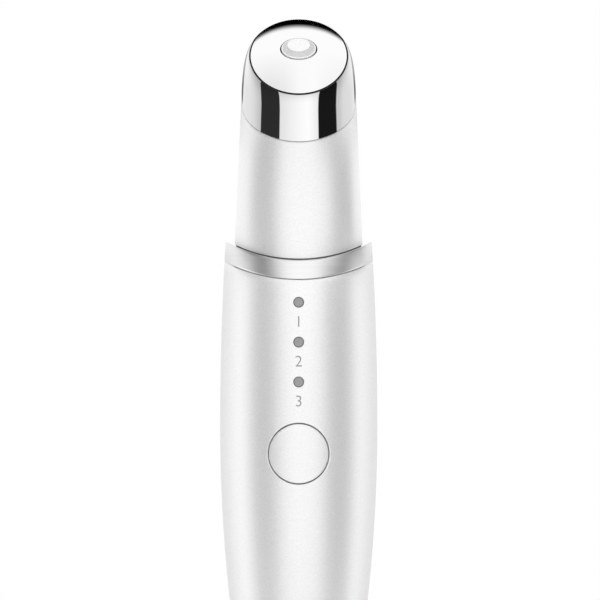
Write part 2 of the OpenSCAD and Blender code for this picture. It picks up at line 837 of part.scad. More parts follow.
module charge_board() {
  color("darkgreen") translate([-charge_board_half_w, port_back_y + fit, charge_board_z])
    cube([2 * charge_board_half_w, charge_board_t, charge_board_l]);
}

// ---- Wires ----

// Distance from a face to the middle of a wire that lies on it, and the length of a soldered end
lie = wire_r + fit;
solder_l = 2;
board_under_z = face_z - stack_back / cos(face_tilt);
socket_run = 2.5;
plug_run = 1.5;
board_run = 0.6;
module head_wires() {
  color("firebrick")
    for (x = wire_spread) wire([
      [x, head_wire_y, board_under_z + face_slope * head_wire_y - lie / cos(face_tilt)],
      [x, way_y(x), ledge_z + socket_run],
      [x, way_y(x), plug_z + plug_run],
      [x, front_y - lie, board_top_z - board_run],
      [x, front_y - lie, board_top_z - board_run - solder_l]
    ]);
}

motor_wire_x = 1;
motor_wire_y = -2.6;
cup_run = 0.5;
module motor_wires() {
  color("royalblue")
    for (x = [-motor_wire_x, motor_wire_x]) wire([
      [x, motor_wire_y, can_z - end_cap_t - fit],
      [x, motor_wire_y, cup_floor_z - cup_run],
      [x, -board_back + lie, board_top_z - board_run],
      [x, -board_back + lie, board_top_z - board_run - solder_l]
    ]);
}

battery_wire_x = 3.2;
battery_wire_y = -1;
module battery_wires() {
  color("crimson") {
    wire([
      [-battery_wire_x, battery_wire_y, cell_top_z + lie],
      [-battery_wire_x, -board_back + lie, cell_top_z + lie],
      [-battery_wire_x, -board_back + lie, cell_top_z - 2 * solder_l]
    ]);
    wire([
      [battery_wire_x, battery_wire_y, cell_z - lie],
      [battery_wire_x, -board_back + lie, cell_z - lie],
      [battery_wire_x, -board_back + lie, board_z + solder_l]
    ]);
  }
}

charge_wire_x = 1.2;
tail_run = 12;
module charge_wires() {
  color("gold")
    for (x = [-charge_wire_x, charge_wire_x]) wire([
      [x, port_back_y - lie + fit, charge_board_top_z - solder_l],
      [x, port_back_y - lie + fit, charge_board_top_z + solder_l],
      [x, -board_back + lie, board_z - tail_run],
      [x, -board_back + lie, board_z + solder_l]
    ]);
}

head_cap();
lens();
heater_film();
pressure_pad();
temp_sensor();
head_led();
light_board();
head_carrier();
neck_sleeve();
neck_seal();
trim_ring();
front_shell();
rear_shell();
tail_cap();
button();
tact_switch();
tact_plunger();
light_pipe(0);  // light_pipe_1
light_pipe(1);  // light_pipe_2
light_pipe(2);  // light_pipe_3
indicator_leds();
main_board();
board_chips();
power_inductor();
board_screws();
battery_cell();
battery_pads();
chassis();
motor_can();
motor_end_cap();
motor_shaft();
eccentric_weight();
motor_boot();
charge_port();
port_tongue();
charge_board();
head_wires();
motor_wires();
battery_wires();
charge_wires();
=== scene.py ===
import json
import math

import bpy
from mathutils import Matrix, Vector


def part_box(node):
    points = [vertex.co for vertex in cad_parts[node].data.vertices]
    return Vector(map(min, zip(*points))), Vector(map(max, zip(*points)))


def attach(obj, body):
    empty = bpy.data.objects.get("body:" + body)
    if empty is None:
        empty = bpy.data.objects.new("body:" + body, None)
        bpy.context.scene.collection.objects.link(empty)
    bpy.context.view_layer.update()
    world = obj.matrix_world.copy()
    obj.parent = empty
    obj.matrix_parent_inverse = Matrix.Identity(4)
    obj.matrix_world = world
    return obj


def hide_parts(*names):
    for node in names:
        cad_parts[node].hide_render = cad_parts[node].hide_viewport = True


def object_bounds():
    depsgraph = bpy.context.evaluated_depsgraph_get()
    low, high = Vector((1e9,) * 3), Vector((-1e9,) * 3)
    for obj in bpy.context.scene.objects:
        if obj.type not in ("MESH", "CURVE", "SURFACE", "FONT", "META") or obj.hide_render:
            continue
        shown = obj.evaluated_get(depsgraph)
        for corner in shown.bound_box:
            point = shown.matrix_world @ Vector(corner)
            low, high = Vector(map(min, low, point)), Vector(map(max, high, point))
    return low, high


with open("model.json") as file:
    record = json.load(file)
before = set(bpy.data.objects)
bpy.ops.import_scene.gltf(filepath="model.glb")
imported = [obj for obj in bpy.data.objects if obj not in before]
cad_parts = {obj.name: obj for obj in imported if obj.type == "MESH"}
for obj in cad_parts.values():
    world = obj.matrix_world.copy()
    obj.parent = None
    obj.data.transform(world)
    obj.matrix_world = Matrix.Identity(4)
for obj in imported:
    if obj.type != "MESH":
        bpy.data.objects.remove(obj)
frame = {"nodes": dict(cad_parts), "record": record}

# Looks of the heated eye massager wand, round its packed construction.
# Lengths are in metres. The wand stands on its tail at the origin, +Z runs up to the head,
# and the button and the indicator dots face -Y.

cad_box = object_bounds()

MM = 0.001

# ---- Sizes, read from the construction where it has them ----


def width_of(node):
    """Width of a piece of the construction, left to right."""
    low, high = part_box(node)
    return high.x - low.x


def middle_z(node):
    """Height of the middle of a piece of the construction."""
    low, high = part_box(node)
    return (low.z + high.z) / 2


# Body and tail.
BODY_R = width_of("front_shell") / 2
BELLY_Z = 66 * MM
UPPER_BOW_R = 456 * MM
TAPER_Z = 39.5 * MM
TAIL_R = 6.18 * MM
LOWER_BOW_R = (BELLY_Z - TAPER_Z) * (BELLY_Z + TAPER_Z) / (2 * (BODY_R - TAIL_R))
SHELL_WALL = 1.5 * MM
TAIL_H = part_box("front_shell")[0].z
TAIL_ROUND = 1 * MM
TAIL_FLOOR = 1.4 * MM
TAIL_BORE_R = 4.93 * MM
SPIGOT_TOP_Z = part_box("tail_cap")[1].z

# Trim ring, and the room at joints.
RING_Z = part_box("trim_ring")[0].z
RING_H = 2.9 * MM
RING_TOP_Z = RING_Z + RING_H
RING_TOP_BOW_R = 23.5 * MM
RING_FOOT_BOW_R = 25.8 * MM
RING_LEDGE = 1.45 * MM
JOINT = 0.1 * MM
FIT = 0.05 * MM
EDGE = 0.1 * MM

# Neck, up to the slanted joint under the head.
NECK_TAPER = math.tan(math.radians(2.55))
NECK_PLUG_L = 1.8 * MM
NECK_WALL = 1.7 * MM
NECK_L = 24.05 * MM
SEAM_Z = RING_TOP_Z + NECK_L
SEAM_SLOPE = math.tan(math.radians(34))
SEAM_JOINT = 0.12 * MM

# Head, its slanted face with the rim, and the lens.
HEAD_L = 8.25 * MM
FACE_Z = SEAM_Z + HEAD_L
FACE_TILT = math.radians(36)
FACE_SLOPE = math.tan(FACE_TILT)
FACE_BOW_R = 37 * MM
FACE_T = 1.6 * MM
RIM_EDGE_W = 0.97 * MM
RIM_EDGE_D = 0.72 * MM
RIM_SHIFT = 0.46 * MM
SHOULDER_Z = FACE_Z - 5.95 * MM
SHOULDER_SLOPE = math.tan(math.radians(23))
SHOULDER_POWER = 2.3
CAP_WALL = 0.9 * MM
LENS_R = 2.8 * MM
LENS_TOP_R = 1.78 * MM
LENS_RISE = 0.68 * MM
LENS_LIP = 0.8 * MM
LENS_LIP_T = 0.55 * MM

# Button and indicator dots.
BUTTON_Z = middle_z("button")
BUTTON_R = 4.5 * MM
BUTTON_HOLE_R = 4.7 * MM
BUTTON_HOLE_D = 3.9 * MM
BUTTON_FLARE = 0.03 * MM
BUTTON_LIP_R = width_of("button") / 2
BUTTON_LIP_Y = -8.92 * MM
BUTTON_BACK_Y = -8.02 * MM
STEM_R = 1.4 * MM
STEM_END_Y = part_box("button")[1].y
DOT_R = 0.79 * MM
DOT_HOLE_R = 0.82 * MM
DOT_HOLE_D = 3 * MM
DOT_FLARE = 0.02 * MM
# Width of the rim of each dot that is painted darker as shade.
DOT_RIM_W = 0.13 * MM
DOT_LIP_R = width_of("light_pipe_1") / 2
DOT_LIP_T = 0.6 * MM
PIPES = ("light_pipe_1", "light_pipe_2", "light_pipe_3")
PIPE_END_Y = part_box("light_pipe_1")[1].y
DOT_PLACES = [middle_z(pipe) for pipe in PIPES]

# How finely the pieces are made.
SIDES = 192
FINE_SIDES = 256
LENS_SIDES = 128
BUTTON_SIDES = 128
HOLE_SIDES = 96
DOT_SIDES = 48
EDGE_STEPS = 4
SMOOTH_ANGLE = math.radians(32)
MERGE = 0.0002 * MM
GRID_MERGE = 0.0005 * MM
ON_PLANE = 0.001 * MM


def body_radius(z):
    """Radius of the body's outline at a height: two bows, and a straight tail."""
    if z >= BELLY_Z:
        return BODY_R - (z - BELLY_Z) ** 2 / (2 * UPPER_BOW_R)
    if z >= TAPER_Z:
        return BODY_R - (BELLY_Z - z) ** 2 / (2 * LOWER_BOW_R)
    drop = BELLY_Z - TAPER_Z
    return BODY_R - drop**2 / (2 * LOWER_BOW_R) - drop / LOWER_BOW_R * (TAPER_Z - z)


NECK_FOOT_R = body_radius(RING_TOP_Z) - RING_LEDGE
RING_BORE_R = NECK_FOOT_R + FIT


def neck_radius(z):
    """Radius of the neck's outline at a height: a straight taper."""
    return NECK_FOOT_R - NECK_TAPER * max(z - RING_TOP_Z, 0)


def arc_lift(x, bow_r):
    """How far an arc across the wand rises above its lowest point."""
    return bow_r - math.sqrt(bow_r**2 - x**2)


def surface_y(x, z):
    """Front of the body at a place seen from the front."""
    return -math.sqrt(body_radius(z) ** 2 - x**2)


def steps(start, end, count):
    """Even steps from one number to another, with both ends."""
    return [start + (end - start) * i / count for i in range(count + 1)]


def arc(centre_r, centre_z, radius, start, end, count=EDGE_STEPS):
    """Points (r, z) of an arc from one angle to another, in degrees."""
    turns = [math.radians(a) for a in steps(start, end, count)]
    return [(centre_r + radius * math.cos(a), centre_z + radius * math.sin(a)) for a in turns]


def foot_edge(radius, z, edge):
    """Rounded outer edge at the foot of an outline, up to its side."""
    return arc(radius - edge, z + edge, edge, -90, 0)


def top_edge(radius, z, edge):
    """Rounded outer edge at the top of an outline, without the point that its side ends on."""
    return arc(radius - edge, z - edge, edge, 0, 90)[1:]


# ---- Modelling moves ----


def deselect_all():
    """Leaves nothing selected, so that a move acts on its own piece only."""
    bpy.ops.object.select_all(action="DESELECT")


def pick(piece):
    """Selects one piece alone."""
    deselect_all()
    piece.select_set(True)
    bpy.context.view_layer.objects.active = piece


def named(name):
    """Names the piece that was just added."""
    piece = bpy.context.object
    piece.name = name
    piece.data.name = name
    return piece


def turn(name, profile, start=0.0, angle=math.tau, sides=SIDES):
    """Spins the outline (r, z) about Z. Its first and last points meet, or lie on the axis."""
    points = [Vector((r, 0, z)) for r, z in profile]
    deselect_all()
    bpy.ops.mesh.primitive_plane_add(size=MM, location=(0, 0, 0))
    piece = named(name)
    bpy.ops.object.mode_set(mode="EDIT")
    bpy.ops.mesh.select_mode(type="VERT")
    bpy.ops.mesh.select_all(action="SELECT")
    bpy.ops.mesh.merge(type="CENTER")
    bpy.ops.transform.translate(value=points[0])
    for here, there in zip(points, points[1:]):
        bpy.ops.mesh.extrude_vertices_move(TRANSFORM_OT_translate={"value": there - here})
    bpy.ops.mesh.select_all(action="SELECT")
    bpy.ops.mesh.remove_doubles(threshold=MERGE)
    bpy.ops.object.mode_set(mode="OBJECT")
    piece.data.transform(Matrix.Rotation(start, 4, "Z"))
    bpy.ops.object.mode_set(mode="EDIT")
    bpy.ops.mesh.select_all(action="SELECT")
    bpy.ops.mesh.spin(steps=sides, angle=angle, center=(0, 0, 0), axis=(0, 0, 1))
    bpy.ops.mesh.select_all(action="SELECT")
    bpy.ops.mesh.remove_doubles(threshold=MERGE)
    bpy.ops.mesh.normals_make_consistent(inside=False)
    bpy.ops.object.mode_set(mode="OBJECT")
    return piece


def reshape(piece, rule):
    """Puts every vertex where the rule says."""
    for vertex in piece.data.vertices:
        vertex.co = rule(*vertex.co)
    piece.data.update()
    return piece


def outward(piece, merge=0.0):
    """Turns all faces outwards, once its doubles closer than the given distance are merged."""
    pick(piece)
    bpy.ops.object.mode_set(mode="EDIT")
    bpy.ops.mesh.select_all(action="SELECT")
    if merge:
        bpy.ops.mesh.remove_doubles(threshold=merge)
    bpy.ops.mesh.normals_make_consistent(inside=False)
    bpy.ops.object.mode_set(mode="OBJECT")
    return piece


def select_edges(piece, rule):
    """Selects the edges whose two ends keep to the rule."""
    for edge in piece.data.edges:
        edge.select = all(rule(piece.data.vertices[i].co) for i in edge.vertices)


def cut(piece, cutter):
    """Takes the cutter's shape out of the piece."""
    pick(piece)
    bpy.ops.object.modifier_add(type="BOOLEAN")
    modifier = piece.modifiers[-1]
    modifier.operation = "DIFFERENCE"
    modifier.solver = "EXACT"
    modifier.object = cutter
    bpy.ops.object.modifier_apply(modifier=modifier.name)
    bpy.data.objects.remove(cutter)
    return piece


def two_finishes(piece, main, other, rule):
    """Gives the piece its main finish, and the other one to faces whose middle keeps to the rule."""
    piece.data.materials.append(main)
    piece.data.materials.append(other)
    for face in piece.data.polygons:
        if rule(face.center):
            face.material_index = 1


def finish(piece, material, body, slot, *nodes):
    """Smooths the piece, gives it its finish and puts it in the place of its CAD nodes."""
    pick(piece)
    bpy.ops.object.shade_smooth_by_angle(angle=SMOOTH_ANGLE)
    if not piece.data.materials:
        piece.data.materials.append(material)
    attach(piece, body)
    if nodes:
        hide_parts(*nodes)
    return piece


# ---- Finishes ----

NOISE_LOW = 0.3
NOISE_HIGH = 0.7


def new_finish(name, colour, roughness, metallic=0.0):
    """A material with its shader, ready for its pattern."""
    material = bpy.data.materials.new(name)
    material.use_nodes = True
    nodes = material.node_tree.nodes
    shader = nodes["Principled BSDF"]
    shader.inputs["Base Color"].default_value = (*colour, 1)
    shader.inputs["Roughness"].default_value = roughness
    shader.inputs["Metallic"].default_value = metallic
    return material, nodes, material.node_tree.links, shader


def object_pattern(nodes, links, scale, stretch=(1, 1, 1), detail=3.0):
    """Noise on Object coordinates, its grains 1 / scale metres across."""
    place = nodes.new("ShaderNodeTexCoord")
    size = nodes.new("ShaderNodeMapping")
    size.inputs["Scale"].default_value = stretch
    noise = nodes.new("ShaderNodeTexNoise")
    noise.inputs["Scale"].default_value = scale
    noise.inputs["Detail"].default_value = detail
    links.new(place.outputs["Object"], size.inputs["Vector"])
    links.new(size.outputs["Vector"], noise.inputs["Vector"])
    return noise.outputs["Fac"]


def vary(nodes, links, shader, value, low, high):
    """Spreads the roughness between two numbers, as a pattern's value goes."""
    span = nodes.new("ShaderNodeMapRange")
    span.inputs["From Min"].default_value = NOISE_LOW
    span.inputs["From Max"].default_value = NOISE_HIGH
    span.inputs["To Min"].default_value = low
    span.inputs["To Max"].default_value = high
    links.new(value, span.inputs["Value"])
    links.new(span.outputs["Result"], shader.inputs["Roughness"])


def tint(nodes, links, shader, value, dark, light):
    """Spreads the colour between two tints, as a pattern's value goes."""
    ramp = nodes.new("ShaderNodeValToRGB")
    ramp.color_ramp.elements[0].position = NOISE_LOW
    ramp.color_ramp.elements[0].color = (*dark, 1)
    ramp.color_ramp.elements[1].position = NOISE_HIGH
    ramp.color_ramp.elements[1].color = (*light, 1)
    links.new(value, ramp.inputs["Fac"])
    links.new(ramp.outputs["Color"], shader.inputs["Base Color"])


def bump(nodes, links, shader, value, depth, strength=1.0):
    """Raises the surface by a pattern's value."""
    relief = nodes.new("ShaderNodeBump")
    relief.inputs["Distance"].default_value = depth
    relief.inputs["Strength"].default_value = strength
    links.new(value, relief.inputs["Height"])
    links.new(relief.outputs["Normal"], shader.inputs["Normal"])


def pearl_paint():
    """Satin pearl lacquer: a fine grain of flakes in white."""
    material, nodes, links, shader = new_finish("pearl_paint", (0.95, 0.95, 0.95), 0.4, 0.5)
    flakes = object_pattern(nodes, links, 4200, detail=2)
    tint(nodes, links, shader, flakes, (0.90, 0.90, 0.905), (0.98, 0.98, 0.98))
    vary(nodes, links, shader, flakes, 0.36, 0.44)
    bump(nodes, links, shader, flakes, 0.004 * MM, 0.5)
    return material


def plated_chrome():
    """Mirror-bright plating with a faint drawn haze."""
    material, nodes, links, shader = new_finish("plated_chrome", (0.97, 0.97, 0.975), 0.03, 1)
    haze = object_pattern(nodes, links, 420, (1, 1, 0.08))
    vary(nodes, links, shader, haze, 0.02, 0.05)
    return material


def satin_silver():
    """Anodised metal, brushed round the wand."""
    material, nodes, links, shader = new_finish("satin_silver", (0.86, 0.86, 0.865), 0.3, 1)
    brush = object_pattern(nodes, links, 900, (0.12, 0.12, 5))
    vary(nodes, links, shader, brush, 0.36, 0.42)
    tint(nodes, links, shader, brush, (0.83, 0.83, 0.835), (0.88, 0.88, 0.88))
    bump(nodes, links, shader, brush, 0.002 * MM, 0.3)
    return material


def frosted_lens():
    """Milky clear plastic over the head's light."""
    material, nodes, links, shader = new_finish("frosted_lens", (0.99, 0.99, 0.99), 0.2)
    cloud = object_pattern(nodes, links, 900)
    vary(nodes, links, shader, cloud, 0.16, 0.24)
    shader.inputs["Coat Weight"].default_value = 1
    shader.inputs["Coat Roughness"].default_value = 0.05
    return material


def lens_side_shade():
    """Frosted side of the lens, painted greyer than its top as shade, because it looks into the head."""
    material, nodes, links, shader = new_finish("lens_side_shade", (0.72, 0.72, 0.725), 0.45)
    cloud = object_pattern(nodes, links, 1200)
    tint(nodes, links, shader, cloud, (0.70, 0.70, 0.705), (0.75, 0.75, 0.755))
    return material


def groove_shade():
    """Painted shade: a dark grey that stands for the shadow in the shallow groove above the trim ring."""
    material, nodes, links, shader = new_finish("groove_shade", (0.2, 0.2, 0.2), 0.6)
    dust = object_pattern(nodes, links, 3000)
    tint(nodes, links, shader, dust, (0.17, 0.17, 0.17), (0.23, 0.23, 0.23))
    return material


def smoky_pipe(name, grey):
    """Grey translucent plastic of the indicators. Its darker copy is painted shade, at the rim and side of
    each dot.
    """
    material, nodes, links, shader = new_finish(name, (grey, grey, grey), 0.3)
    cloud = object_pattern(nodes, links, 2500)
    dark, light = grey * 0.9, grey * 1.05
    tint(nodes, links, shader, cloud, (dark, dark, dark), (light, light, light))
    return material


def joint_shade():
    """Painted shade: a near-black that stands for the shadow on the floor of a narrow joint."""
    material, nodes, links, shader = new_finish("joint_shade", (0.012, 0.012, 0.012), 0.7)
    dust = object_pattern(nodes, links, 3000)
    vary(nodes, links, shader, dust, 0.6, 0.8)
    return material


def print_grey():
    """Matt grey print of the numerals."""
    material, nodes, links, shader = new_finish("print_grey", (0.33, 0.33, 0.335), 0.55)
    dots = object_pattern(nodes, links, 6000)
    tint(nodes, links, shader, dots, (0.30, 0.30, 0.305), (0.36, 0.36, 0.365))
    return material


def inner_finish(slot):
    """Finish of a hidden piece, from the record's colour, with the fine grain of its kind."""
    kinds = {
        "steel": (1.0, 0.3, 1500, (1, 1, 0.1)),
        "brass": (1.0, 0.35, 1500, (1, 1, 0.1)),
        "foam_grey": (0.0, 0.9, 5000, (1, 1, 1)),
        "seal_rubber": (0.0, 0.7, 2500, (1, 1, 1)),
    }
    metallic, roughness, scale, stretch = kinds.get(slot["slot"], (0.0, 0.5, 1800, (1, 1, 1)))
    colour = slot["base_color"]
    material, nodes, links, shader = new_finish("inner_" + slot["slot"], colour, roughness, metallic)
    grain = object_pattern(nodes, links, scale, stretch)
    tint(nodes, links, shader, grain, [c * 0.92 for c in colour], colour)
    vary(nodes, links, shader, grain, roughness * 0.9, roughness * 1.1)
    bump(nodes, links, shader, grain, 0.004 * MM, 0.4)
    return material


PEARL = pearl_paint()
CHROME = plated_chrome()
SILVER = satin_silver()
LENS = frosted_lens()
LENS_SIDE_SHADE = lens_side_shade()
GROOVE = groove_shade()
PIPE = smoky_pipe("smoky_pipe", 0.36)
# Darker copy of the pipes' grey: painted shade of the gap round each dot.
PIPE_EDGE_SHADE = smoky_pipe("smoky_pipe_edge_shade", 0.17)
# Near-black painted shade for the head's joints and the chrome rows beside the far rim.
SHADE = joint_shade()
PRINT = print_grey()

# ---- Body ----

BODY_ROWS = 96
SOCKET_L = 2 * MM
SOCKET_END = 3 * MM
SPLIT_EDGE = 0.05 * MM


def half_shell(name, start):
    """One half of the body's tube, its top edge lifted to the ring's foot."""
    foot_z = TAIL_H + JOINT / 2
    top_z = RING_Z - JOINT
    profile = foot_edge(body_radius(foot_z), foot_z, EDGE)[:-1]
    profile += [(body_radius(z), z) for z in steps(foot_z + EDGE, top_z - EDGE, BODY_ROWS)]
    profile += top_edge(body_radius(top_z), top_z, EDGE)
    profile += [(RING_BORE_R, top_z), (RING_BORE_R, top_z - SOCKET_L)]
    profile += [(body_radius(z) - SHELL_WALL, z) for z in steps(top_z - SOCKET_END, foot_z, BODY_ROWS // 4)]
    profile.append(profile[0])
    shell = turn(name, profile, start, math.pi, SIDES // 2)
    pick(shell)
    bpy.ops.object.mode_set(mode="EDIT")
    bpy.ops.mesh.select_mode(type="EDGE")
    for side in (-1, 1):
        bpy.ops.mesh.select_all(action="DESELECT")
        bpy.ops.object.mode_set(mode="OBJECT")
        select_edges(shell, lambda p: abs(p.y) < ON_PLANE and p.x * side > 0)
        bpy.ops.object.mode_set(mode="EDIT")
        bpy.ops.mesh.edge_face_add()
    bpy.ops.mesh.select_all(action="SELECT")
    bpy.ops.mesh.normals_make_consistent(inside=False)
    bpy.ops.mesh.select_all(action="DESELECT")
    bpy.ops.object.mode_set(mode="OBJECT")
    select_edges(shell, lambda p: abs(p.y) < ON_PLANE and abs(p.x) > body_radius(p.z) - 0.01 * MM)
    bpy.ops.object.mode_set(mode="EDIT")
    bpy.ops.mesh.bevel(offset=SPLIT_EDGE, segments=2, affect="EDGES")
    bpy.ops.object.mode_set(mode="OBJECT")

    def lift(x, y, z):
        reach = math.hypot(x, y)
        inset = body_radius(z) - reach
        share = min(max((z - BELLY_Z) / (top_z - BELLY_Z), 0), 1)
        high = z + share**2 * arc_lift(x, RING_FOOT_BOW_R)
        grown = (body_radius(high) - inset) / reach
        return x * grown, y * grown, high

    return reshape(shell, lift)


front_shell = half_shell("front_shell_skin", 0)
rear_shell = half_shell("rear_shell_skin", math.pi)


BACK_FROM_Y = -4 * MM


def set_into_front(name, profile, centre_z, sides):
    """A round piece or cutter whose axis runs along Y. Its outline is (r, depth behind the body's surface).
    Points of its flat back are (r, y) instead, which lies in front of BACK_FROM_Y."""
    piece = turn(name, profile, sides=sides)

    def rule(x, y, depth):
        z = centre_z + y
        if depth > BACK_FROM_Y:
            return x, surface_y(x, z) + depth, z
        return x, depth, z

    reshape(piece, rule)
    return outward(piece)


def hole(radius, flare, depth, centre_z, sides=HOLE_SIDES):
    """Cutter of a round hole, its mouth flared along the body's surface."""
    ahead, mouth_r = -1 * MM, radius + flare * 1.6
    profile = [(0, ahead), (mouth_r, ahead), (mouth_r, -flare * 0.6), (radius + flare, 0)]
    profile += [(radius + flare * 0.3, flare * 0.3), (radius, flare), (radius, depth), (0, depth)]
    return set_into_front("hole", profile, centre_z, sides)


cut(front_shell, hole(BUTTON_HOLE_R, BUTTON_FLARE, BUTTON_HOLE_D, BUTTON_Z))
for dot_z in DOT_PLACES:
    cut(front_shell, hole(DOT_HOLE_R, DOT_FLARE, DOT_HOLE_D, dot_z, DOT_SIDES))
finish(front_shell, PEARL, "root", "pearl_white", "front_shell")
finish(rear_shell, PEARL, "root", "pearl_white", "rear_shell")


def push_button():
    """Round cap that follows the body's front, with its flange and stem."""
    edge, first_ring_r, side_h = 0.09 * MM, 0.3 * MM, 0.6 * MM
    cap = [(0, 0)] + [(r, 0) for r in steps(first_ring_r, BUTTON_R - edge, 20)]
    cap += foot_edge(BUTTON_R, 0, edge)[1:] + [(BUTTON_R, side_h)]
    back = [(BUTTON_R, BUTTON_LIP_Y), (BUTTON_LIP_R, BUTTON_LIP_Y), (BUTTON_LIP_R, BUTTON_BACK_Y)]
    back += [(STEM_R, BUTTON_BACK_Y), (STEM_R, STEM_END_Y), (0, STEM_END_Y)]
    button = set_into_front("button_cap", cap + back, BUTTON_Z, BUTTON_SIDES)
    finish(button, PEARL, "button", "pearl_white", "button")


def light_pipes():
    """Three smoky pipes, flush with the body."""
    edge, first_ring_r, side_h = 0.06 * MM, 0.15 * MM, 0.6 * MM
    face_r = DOT_R - DOT_RIM_W
    for node, dot_z in zip(PIPES, DOT_PLACES):
        lip_y = surface_y(DOT_LIP_R, dot_z) + SHELL_WALL + FIT
        face = [(0, 0)] + [(r, 0) for r in steps(first_ring_r, face_r, 5)]
        face += foot_edge(DOT_R, 0, edge) + [(DOT_R, side_h)]
        back = [(DOT_R, lip_y), (DOT_LIP_R, lip_y), (DOT_LIP_R, lip_y + DOT_LIP_T)]
        back += [(DOT_R, lip_y + DOT_LIP_T), (DOT_R, PIPE_END_Y), (0, PIPE_END_Y)]
        pipe = set_into_front(node + "_lens", face + back, dot_z, DOT_SIDES)
        # The rim of each dot's face and its side get the darker grey, painted shade of the gap round it.
        two_finishes(pipe, PIPE, PIPE_EDGE_SHADE, lambda p: math.hypot(p.x, p.z - dot_z) > face_r)
        finish(pipe, PIPE, "root", "pipe_grey", node)


push_button()
light_pipes()


def tail_end():
    """Tail cap: rounded foot, spigot in the shells, bore and the port's slot."""
    top_z = TAIL_H - JOINT / 2
    edge_r = body_radius(TAIL_ROUND) - TAIL_ROUND
    spigot_r = body_radius(SPIGOT_TOP_Z) - SHELL_WALL - FIT
    spigot_foot_r = body_radius(TAIL_H) - SHELL_WALL - FIT
    turns = [math.radians(d) for d in steps(0, 90, 12)]
    foot = [(edge_r + TAIL_ROUND * math.sin(a), TAIL_ROUND * (1 - math.cos(a))) for a in turns]
    profile = [(0, 0)] + foot[:-1]
    profile += [(body_radius(z), z) for z in steps(TAIL_ROUND, top_z - EDGE, 12)]
    profile += top_edge(body_radius(top_z), top_z, EDGE)
    profile += [(spigot_foot_r, top_z), (spigot_r, SPIGOT_TOP_Z), (TAIL_BORE_R, SPIGOT_TOP_Z)]
    profile += [(TAIL_BORE_R, TAIL_FLOOR), (0, TAIL_FLOOR)]
    tail = turn("tail_cap_skin", profile)
    cut(tail, slot_cutter())
    finish(tail, PEARL, "root", "pearl_white", "tail_cap")


def slot_cutter():
    """Flat slot with round ends, for the charge port."""
    low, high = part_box("charge_port")
    room, depth = 0.1 * MM, 6 * MM
    radius = (high.y - low.y) / 2 + room
    reach = (high.x - low.x) / 2 + room - radius
    deselect_all()
    bpy.ops.mesh.primitive_cylinder_add(vertices=64, radius=radius, depth=depth, location=(0, 0, 0))
    cutter = named("slot")

    def spread(x, y, z):
        return (x + math.copysign(reach, x) if abs(x) > ON_PLANE else x), y, z

    return reshape(cutter, spread)


tail_end()


def saddle_ring():
    """Trim ring between body and neck, its top and foot cut by arcs."""
    edge = 0.14 * MM
    profile = foot_edge(body_radius(RING_Z), RING_Z, edge)
    profile += [(body_radius(z), z) for z in steps(RING_Z + edge, RING_TOP_Z - edge, 12)][1:]
    profile += top_edge(body_radius(RING_TOP_Z), RING_TOP_Z, edge)
    profile += arc(RING_BORE_R + edge, RING_TOP_Z - edge, edge, 90, 180)
    profile += [(RING_BORE_R, RING_Z)]
    profile.append(profile[0])
    ring = turn("saddle_ring", profile, sides=FINE_SIDES)

    def lift(x, y, z):
        reach = math.hypot(x, y)
        inset = body_radius(z) - reach
        share = min(max((z - RING_Z) / RING_H, 0), 1)
        rise = (1 - share) * arc_lift(x, RING_FOOT_BOW_R) + share * arc_lift(x, RING_TOP_BOW_R)
        grown = (body_radius(z + rise) - inset) / reach if inset < RING_LEDGE / 2 else 1
        return x * grown, y * grown, z + rise

    reshape(ring, lift)
    finish(ring, SILVER, "root", "ring_silver", "trim_ring")


saddle_ring()

# ---- Neck and head ----

GROOVE_H = 0.3 * MM
GROOVE_D = 0.25 * MM
GROOVE_FOOT = 0.8 * MM
GROOVE_FLOOR = 0.6 * MM
GROOVE_EDGE = 0.06 * MM
# How far under the ring's top, and how far in, the groove's painted shade reaches.
GROOVE_SHADE_DOWN = 1 * MM
GROOVE_SHADE_IN = 0.1 * MM
NECK_ROWS = 60


def neck_tube():
    """Tapered neck, its foot grooved along the ring and its top cut at the head's slant."""
    top_z = SEAM_Z - SEAM_JOINT / 2
    plug_z = RING_Z - NECK_PLUG_L
    groove_top = RING_TOP_Z + GROOVE_H
    groove_r = NECK_FOOT_R - GROOVE_D
    profile = [(NECK_FOOT_R, plug_z), (NECK_FOOT_R, RING_TOP_Z - GROOVE_FOOT)]
    profile += [(groove_r, RING_TOP_Z - GROOVE_FLOOR), (groove_r, groove_top - 0.02 * MM)]
    profile += foot_edge(neck_radius(groove_top), groove_top, GROOVE_EDGE)
    profile += [(neck_radius(z), z) for z in steps(groove_top + EDGE, top_z - EDGE, NECK_ROWS)]
    profile += top_edge(neck_radius(top_z), top_z, EDGE)
    profile += [(neck_radius(top_z) - NECK_WALL, top_z), (NECK_FOOT_R - NECK_WALL, plug_z)]
    profile.append(profile[0])
    neck = turn("neck_tube", profile, sides=FINE_SIDES)

    def slant(x, y, z):
        share = min(max((z - RING_TOP_Z) / (top_z - RING_TOP_Z), 0), 1)
        reach = math.hypot(x, y)
        inset = neck_radius(z) - reach
        high = z
        for _ in range(3):
            grown = (neck_radius(high) - inset) / reach
            below = arc_lift(x * grown, RING_TOP_BOW_R) if z > RING_Z else 0
            high = z + (1 - share) * below + share * SEAM_SLOPE * y * grown
        return x * grown, y * grown, high

    def in_groove(middle):
        reach = math.hypot(middle.x, middle.y)
        height = middle.z - arc_lift(middle.x, RING_TOP_BOW_R)
        outside = NECK_FOOT_R - NECK_WALL / 2 < reach < NECK_FOOT_R - GROOVE_SHADE_IN
        return outside and RING_TOP_Z - GROOVE_SHADE_DOWN < height < groove_top

    reshape(neck, slant)
    # The groove's floor, and the neck just under the ring's top, are painted dark grey as shade.
    two_finishes(neck, PEARL, GROOVE, in_groove)
    finish(neck, PEARL, "root", "pearl_white", "neck_sleeve")


neck_tube()

